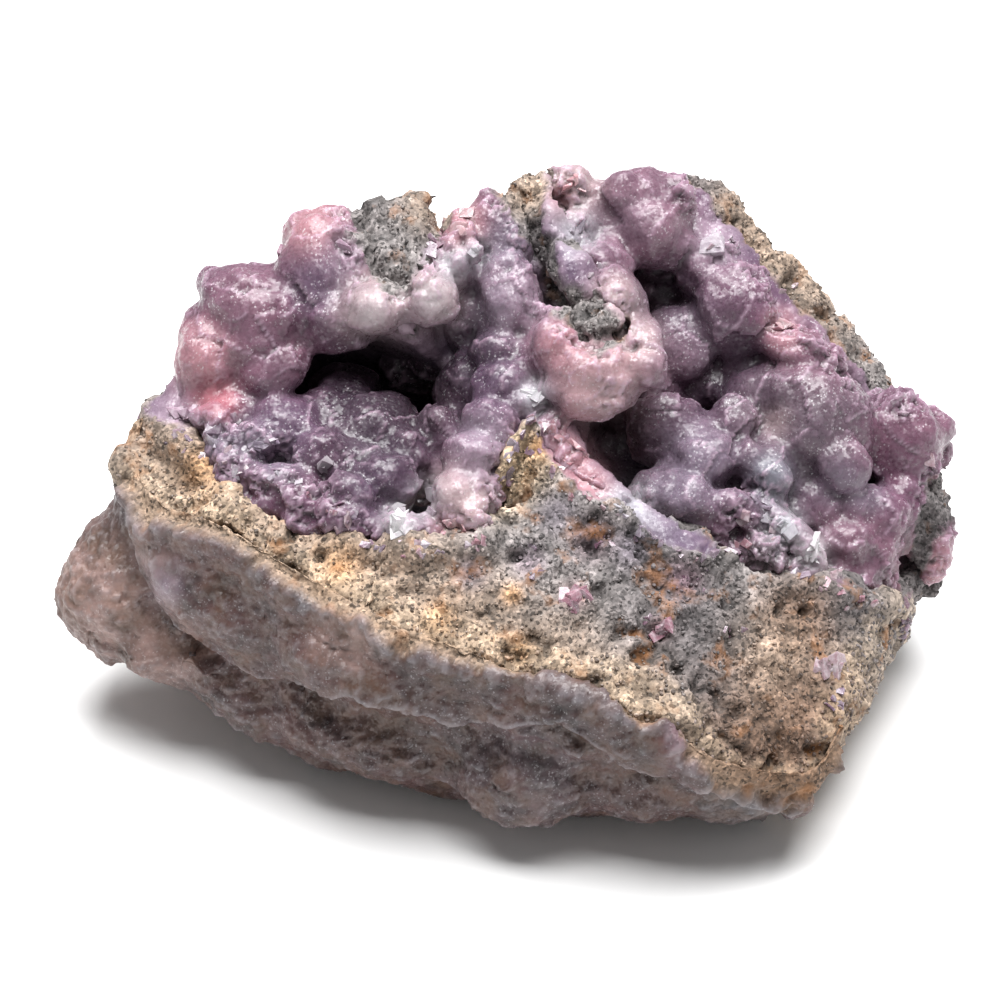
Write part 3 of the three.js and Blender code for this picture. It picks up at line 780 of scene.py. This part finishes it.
def dress_crust(material):
    """The crust of the hollows: rounded lumps, rippled, and broken into chips along the rims."""
    base = Surface(node_mesh("vug_crust"), CRUST_CELL, CRUST_FILL)
    base.smooth(10)
    crust = Surface(with_growths(base, GROWTHS, SEED + 100), CRUST_CELL)
    crust.smooth(2)
    places = crust.places
    broken = brokenness(places)
    patchy = smoothstep(-0.1, 0.6, noise(places, 5.0, SEED + 5, 2))
    relief = 0.15 * patchy * botryoids(places, 1.8, SEED + 6)
    relief += 0.07 * noise(places, 1.0, SEED + 12, 3)
    relief += 0.35 * facets(places, 4.0, SEED + 16) + 0.05 * facets(places, 1.1, SEED + 17)
    relief += broken * (0.9 * facets(places, 1.7, SEED + 14) + 0.5 * facets(places, 0.9, SEED + 21))
    crust.push(relief - 0.1)
    bulge = crust.bulge(8)
    specks = 0.04 * noise(crust.places, 1.5, SEED + 13, 2)
    # Painted light: frost pales the crust on its ridges and the edges of its lumps, a painted rim
    # of light on thin edges.
    frost = 0.35 * smoothstep(0.03, 0.22, bulge + specks)
    frost = np.maximum(frost, 0.55 * smoothstep(0.02, 0.07, crust.bulge(2)))
    points = sight(crust.places)[:, :2]
    tint = painted(points, "purple", CRUST_PATCHES)
    # Painted shade: the crust is darkened by up to half in its creases, where it sinks below the
    # surface round it.
    tint *= 0.88 * (1 - 0.5 * smoothstep(0.02, 0.25, -bulge))[:, None]
    rocky = inside_any(points, (LOBE_PATCH, RIB, RIGHT_STRIP))
    bare = smoothstep(-0.3, 0.4, rocky + 0.3 + 0.8 * noise(crust.places, 1.6, SEED + 15, 3))
    tint += bare[:, None] * (painted(points, "ash", ROCK_PATCHES) - tint)
    crust.push(bare * (0.5 * facets(crust.places, 1.2, SEED + 18) - 0.2))
    attributes = {"tint": tint, "frost": frost * (1 - bare), "bare": bare}
    piece = make_piece("crystal_crust", crust.places, crust.quads, material, attributes, True)
    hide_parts("vug_crust")
    return piece


def dress_rock(material):
    """The rock: crumbly and pitted where it is broken, lined with low botryoids in the hollows."""
    rock = Surface(node_mesh("host_rock"), ROCK_CELL)
    rock.smooth(3)
    places, facing = rock.places, rock.normals() @ OUT
    bare = bareness(places, rock.normals())
    points = sight(places)[:, :2]
    crumbs = facets(places, 1.2, SEED + 50)
    away = 1 - smoothstep(-0.4, 0.0, facing)
    pits = smoothstep(0.45, 0.8, noise(places, PIT_SIZE, SEED + 45, 3))
    slot = 1 - smoothstep(0.25, 0.6, from_path(points, GROOVE))
    lip = 1 - smoothstep(0.8, 4.0, from_path(points, LIP) + noise(places, 2.0, SEED + 27, 2))
    lobe = smoothstep(-0.5, 2.0, inside(points, LOBE_PATCH)) * smoothstep(0.4, 0.8, facing)
    edge = 1 - smoothstep(0.5, 3.0, from_path(points, ROCK_FACE_CRUST_EDGE))
    ragged = 0.4 * noise(places, 3.2, SEED + 21, 4) + 0.7 * facets(places, 3.0, SEED + 40)
    ragged += 0.35 * crumbs
    ragged += 0.25 * facets(places, 0.8, SEED + 46)
    ragged += 1.8 * facets(places, 9.0, SEED + 60) * away
    ragged += 0.7 * lip + 1.6 * lobe + 1.6 * edge - 0.9 * pits - 1.2 * slot
    lined = 0.8 * botryoids(places, 3.0, SEED + 24) + 0.2 * noise(places, 1.2, SEED + 25, 2)
    off_floor = smoothstep(*ROCK_FOOT, places[:, 2])
    rock.push((bare * ragged + (1 - bare) * lined) * off_floor)
    points = sight(rock.places)
    # The rock's patches include the cream by the groove, partly painted light.
    stone = painted(points, "ash", ROCK_PATCHES)
    stone += 0.28 * lip[:, None] * (linear("cream") - stone)
    stone *= (1 + 0.45 * noise(rock.places, 1.8, SEED + 26, 4) + 0.3 * crumbs)[:, None]
    # Painted shade: the pits and the groove's crack, sunk above, are also darkened.
    stone *= (1 - 0.6 * np.maximum(pits, slot))[:, None]
    # The lining takes the crust's patches, the painted shade of the deep and black patches in the
    # hollows included.
    lining = painted(points, "violet", CRUST_PATCHES)
    tint = np.clip(bare[:, None] * stone + (1 - bare)[:, None] * lining, 0, 1)
    # Painted light: the lining is paled on its ridges, a painted rim light as on the crust.
    frost = 0.4 * smoothstep(0.05, 0.25, rock.bulge(6)) * (1 - bare)
    attributes = {"tint": tint, "frost": frost, "bare": bare}
    piece = make_piece("broken_rock", rock.places, rock.quads, material, attributes, True)
    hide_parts("host_rock")
    return piece, rock, bare


def dress_outer(material):
    """The outer crust: mounds with ripples and wrinkles, and rock along the broken rim."""
    base = Surface(node_mesh("outer_crust"), OUTER_CELL, OUTER_FILL)
    base.smooth(22)
    base.push(RIM_THICKENING * smoothstep(*OUTER_FOOT, base.places[:, 2]))
    outer = Surface(with_growths(base, OUTER_GROWTHS, SEED + 200), OUTER_CELL)
    outer.smooth(10)
    nub = np.exp(-((from_spot(sight(outer.places), NUB) / NUB[2]) ** 2))[:, None]
    for _ in range(NUB_SMOOTHING):
        outer.places = outer.places + 0.6 * nub * (outer.around(outer.places) - outer.places)
    places = outer.places
    points = sight(places)[:, :2]
    rim = smoothstep(-1.5, -0.5, inside(points, RIM) + 0.9 * noise(places, 2.0, SEED + 38, 3))
    sheet = places * np.array([0.45, 1.0, 1.3])
    lumpy = smoothstep(-0.1, 0.5, noise(places, 7.0, SEED + 34, 2))
    relief = 0.5 * noise(places, 6.0, SEED + 30, 2)
    relief += 0.3 * botryoids(places, 2.0, SEED + 31) * lumpy
    relief += 0.25 * np.abs(noise(sheet, 1.8, SEED + 35, 3)) + 0.2 * facets(places, 2.4, SEED + 41)
    relief += 0.2 * noise(places, 0.9, SEED + 43, 3) + 0.15 * facets(places, 0.9, SEED + 44)
    band = inside(points, OUTER_BAND) + 0.4 * noise(places, 2.5, SEED + 42, 2)
    relief += 1.4 * smoothstep(-0.35, 0.35, band)
    relief -= LEFT_END_TRIM * np.exp(-((from_spot(points, LEFT_END) / LEFT_END[2]) ** 2))
    crumbs = 0.4 * facets(places, 1.2, SEED + 50)
    relief = (1 - rim) * (relief - 0.7) + rim * (crumbs - 0.6)
    outer.push(RIM_KEPT - RIM_THICKENING + relief * smoothstep(*OUTER_FOOT, places[:, 2]))
    places = outer.places
    points = sight(places)[:, :2]
    depth = inside(points, RIM)
    tint = painted(points, "brown_mauve", OUTER_PATCHES)
    blotches = 0.45 * noise(places, 2.4, SEED + 36, 5) + 0.3 * noise(places, 0.7, SEED + 45, 2)
    tint *= (1 + blotches)[:, None]
    rock = painted(points, "tan", ROCK_PATCHES)
    tint = np.clip((1 - rim)[:, None] * tint + rim[:, None] * rock, 0, 1)
    specks = noise(places, 1.6, SEED + 37, 4)
    # Painted light: frost pales the outer crust on its bulges, a painted rim light; the pale band
    # below the rim added next is its own frosting.
    frost = 0.25 * smoothstep(0.02, 0.25, outer.bulge(8) + 0.08 * specks)
    frost += 0.22 * smoothstep(-3.0, -0.8, depth) * smoothstep(-0.3, 0.5, specks)
    frost *= 1 - np.maximum(rim, 0.7 * smoothstep(-2.5, -1.0, depth))
    attributes = {"tint": tint, "frost": frost, "bare": rim}
    piece = make_piece("front_crust", outer.places, outer.quads, material, attributes, True)
    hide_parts("outer_crust")
    return piece


def turned(count, random):
    """Random rotations."""
    spin = random.normal(size=(count, 4))
    w, x, y, z = (spin / np.linalg.norm(spin, axis=1)[:, None]).T
    return np.stack(
        [
            np.stack([1 - 2 * (y * y + z * z), 2 * (x * y - z * w), 2 * (x * z + y * w)], axis=1),
            np.stack([2 * (x * y + z * w), 1 - 2 * (x * x + z * z), 2 * (y * z - x * w)], axis=1),
            np.stack([2 * (x * z - y * w), 2 * (y * z + x * w), 1 - 2 * (x * x + y * y)], axis=1),
        ],
        axis=1,
    )


def copies(shape, faces, centres, frames, random, jitter):
    """Many copies of a shape as one mesh: each jittered, then stretched and turned by its frame."""
    shapes = shape + jitter * random.normal(size=(len(centres), *shape.shape))
    places = np.einsum("nij,nkj->nki", frames, shapes) + centres[:, None, :]
    steps = np.arange(len(centres))[:, None, None] * len(shape)
    return places.reshape(-1, 3), (faces[None] + steps).reshape(-1, faces.shape[1])


def unit_shape(build):
    """Vertices and triangles of a small shape that a bmesh call builds."""
    mesh = bmesh.new()
    build(mesh)
    bmesh.ops.triangulate(mesh, faces=mesh.faces)
    places = np.array([vertex.co for vertex in mesh.verts])
    faces = np.array([[vertex.index for vertex in face.verts] for face in mesh.faces])
    mesh.free()
    return places, faces


def grain_shape(mesh):
    bmesh.ops.create_icosphere(mesh, subdivisions=1, radius=0.5)


def shard_shape(random):
    """A call that builds a cleavage chip: a leaning block with its corners knocked about."""

    def build(mesh):
        corners = np.array(list(itertools.product((-0.5, 0.5), repeat=3)))
        corners[:, 0] += 0.3 * corners[:, 1]
        for corner in corners + random.uniform(-0.3, 0.3, (8, 3)):
            mesh.verts.new(corner)
        made = bmesh.ops.convex_hull(mesh, input=mesh.verts[:])
        spare = list({*made["geom_interior"], *made["geom_unused"]})
        bmesh.ops.delete(mesh, geom=spare, context="VERTS")
        mesh.verts.index_update()

    return build


def scatter_grains(rock, bare, material):
    """Loose grains on the bare rock, denser on the display side."""
    random = np.random.default_rng(SEED)
    centres = rock.places[rock.quads].mean(axis=1)
    normals = rock.normals()[rock.quads[:, 0]]
    in_front = smoothstep(-0.2, 0.1, normals @ OUT)
    allowed = (bare[rock.quads].mean(axis=1) > 0.6) & (centres[:, 2] > 1.0)
    wanted = allowed * (0.1 + 0.9 * in_front)
    chosen = random.choice(len(centres), GRAINS, replace=False, p=wanted / wanted.sum())
    sizes = random.uniform(0.25, 0.65, GRAINS) ** 1.5
    turns = turned(GRAINS, random)
    frames = turns * (sizes[:, None] * random.uniform(0.6, 1.2, (GRAINS, 3)))[:, None, :]
    sunk = centres[chosen] + normals[chosen] * (0.1 * sizes)[:, None]
    places, faces = copies(*unit_shape(grain_shape), sunk, frames, random, 0.06)
    # Grains take the rock's patches where they sit, the partly painted light of the cream by the
    # groove included.
    local = painted(sight(sunk), "ash", ROCK_PATCHES)
    light = random.choice(GRAIN_LEVELS, GRAINS, p=GRAIN_SHARES)
    tint = np.clip(local * light[:, None], 0, 0.9)
    attributes = {"tint": np.repeat(tint, len(places) // GRAINS, axis=0)}
    piece = make_piece("rock_grains", places, faces, material, attributes, False)


def tree_of(pieces):
    """A search tree over the pieces' faces, in mm."""
    places, faces, start = [], [], 0
    for piece in pieces:
        places += [vertex.co / MM for vertex in piece.data.vertices]
        faces += [[start + index for index in polygon.vertices] for polygon in piece.data.polygons]
        start = len(places)
    return BVHTree.FromPolygons(places, faces)


def seen_at(tree, across, rise):
    """The place and normal that the camera sees at a sight point, or nothing."""
    through = SIGHT_CENTRE + across * RIGHT + rise * UP
    place, normal, _, _ = tree.ray_cast(Vector(EYE), Vector(through - EYE).normalized())
    return (np.array(place), np.array(normal)) if place else None


def edge_chips(random):
    """Small chips along the line where the crust meets the broken face."""
    clusters = []
    for start, end in zip(ROCK_FACE_CRUST_EDGE[1:-1], ROCK_FACE_CRUST_EDGE[2:]):
        for share in np.arange(0, 1, EDGE_CHIP_STEP / math.dist(start, end)):
            across, rise = np.array(start) + share * (np.array(end) - np.array(start))
            clusters.append((across, rise, 1.0, 2, 1.1, random.choice(EDGE_CHIP_COLOURS)))
    return clusters


def plates(normals, random):
    """Rotations that lay a chip's third axis near each normal, at a random turn about it."""
    lean = normals + 0.35 * random.normal(size=normals.shape)
    lean /= np.linalg.norm(lean, axis=1)[:, None]
    side = np.cross(lean, random.normal(size=normals.shape))
    side /= np.linalg.norm(side, axis=1)[:, None]
    return np.stack([side, np.cross(lean, side), lean], axis=2)


def scatter_chips(tree, material):
    """Cleavage chips on the surface that the camera sees, each partly sunk in it."""
    random = np.random.default_rng(SEED + 1)
    centres, normals, sizes, tints = [], [], [], []
    for across, rise, spread, count, largest, name in CHIPS + edge_chips(random):
        for _ in range(count):
            aside = spread * random.normal() * 0.6
            seen = seen_at(tree, across + aside, rise + spread * random.normal() * 0.6)
            if seen is None:
                continue
            size = largest * random.uniform(0.45, 1.15)
            centres.append(seen[0] - 0.12 * size * seen[1])
            normals.append(seen[1])
            sizes.append(0.8 * size * random.uniform((0.8, 0.6, 0.25), (1.1, 0.9, 0.45)))
            tints.append(linear(name) * random.uniform(0.55, 0.95))
    centres = np.array(centres)
    frames = plates(np.array(normals), random) * np.array(sizes)[:, None, :]
    # Each chip takes part of the crust's colour where it sits, the painted shade in the hollows
    # included.
    own = 0.45 * np.array(tints) + 0.55 * painted(sight(centres), "purple", CRUST_PATCHES)
    parts, faces, tint = [], [], []
    for kind in range(SHARD_KINDS):
        shape, sides = unit_shape(shard_shape(random))
        own_kind = slice(kind, None, SHARD_KINDS)
        places, steps = copies(shape, sides, centres[own_kind], frames[own_kind], random, 0.02)
        faces.append(steps + sum(map(len, parts)))
        parts.append(places)
        tint.append(np.repeat(own[own_kind], len(shape), axis=0))
    attributes = {"tint": np.clip(np.concatenate(tint), 0, 1)}
    places, faces = np.concatenate(parts), np.concatenate(faces)
    piece = make_piece("cleavage_chips", places, faces, material, attributes, False)


def floor():
    """A wide pale floor."""
    nodes = Nodes("pale_floor")
    nodes.surface(Base_Color=(0.9, 0.9, 0.9, 1), Roughness=0.9)
    bpy.ops.mesh.primitive_plane_add(size=FLOOR_SIZE)
    plane = bpy.context.object
    plane.name = "floor"
    plane.data.materials.append(nodes.material)


def light_and_camera():
    """A white surround, one broad lamp overhead and the camera at the photo's angle."""
    scene = bpy.context.scene
    world = bpy.data.worlds.new("studio")
    world.use_nodes = True
    surround = world.node_tree.nodes["Background"]
    surround.inputs["Color"].default_value = (1, 1, 1, 1)
    surround.inputs["Strength"].default_value = WORLD_STRENGTH
    scene.world = world
    lamp = bpy.data.lights.new("overhead", "AREA")
    lamp.size = LIGHT_SIZE
    lamp.energy = LIGHT_POWER
    light = bpy.data.objects.new("overhead", lamp)
    light.location = LIGHT_PLACE
    beam = Vector(LIGHT_TARGET) - Vector(LIGHT_PLACE)
    light.rotation_euler = beam.to_track_quat("-Z", "Y").to_euler()
    scene.collection.objects.link(light)
    data = bpy.data.cameras.new("camera")
    data.lens = LENS
    data.sensor_width = SENSOR
    data.clip_start = CLIP_START
    camera = bpy.data.objects.new("camera", data)
    camera.location = EYE * MM
    camera.rotation_euler = Vector(-OUT).to_track_quat("-Z", "Y").to_euler()
    scene.collection.objects.link(camera)
    scene.camera = camera
    scene.view_settings.view_transform = "Standard"


smithsonite = specimen_material(
    "smithsonite", roughness=0.32, glow=0.45, drusy=0.36, glint=0.45, shade="deep", frost="lilac"
)
granular_rock = specimen_material(
    "granular_rock", roughness=0.34, glow=0.0, drusy=0.36, glint=0.4, shade="deep", frost="lilac"
)
dull_smithsonite = specimen_material(
    "dull_smithsonite", roughness=0.45, glow=0.0, drusy=0.45, glint=0.2,
    shade="brown", frost="frost",
)
crust_piece = dress_crust(smithsonite)
rock_piece, rock_surface, rock_bare = dress_rock(granular_rock)
outer_piece = dress_outer(dull_smithsonite)
scatter_grains(rock_surface, rock_bare, grain_material())
scatter_chips(tree_of([crust_piece, rock_piece, outer_piece]), chip_material())
floor()
light_and_camera()
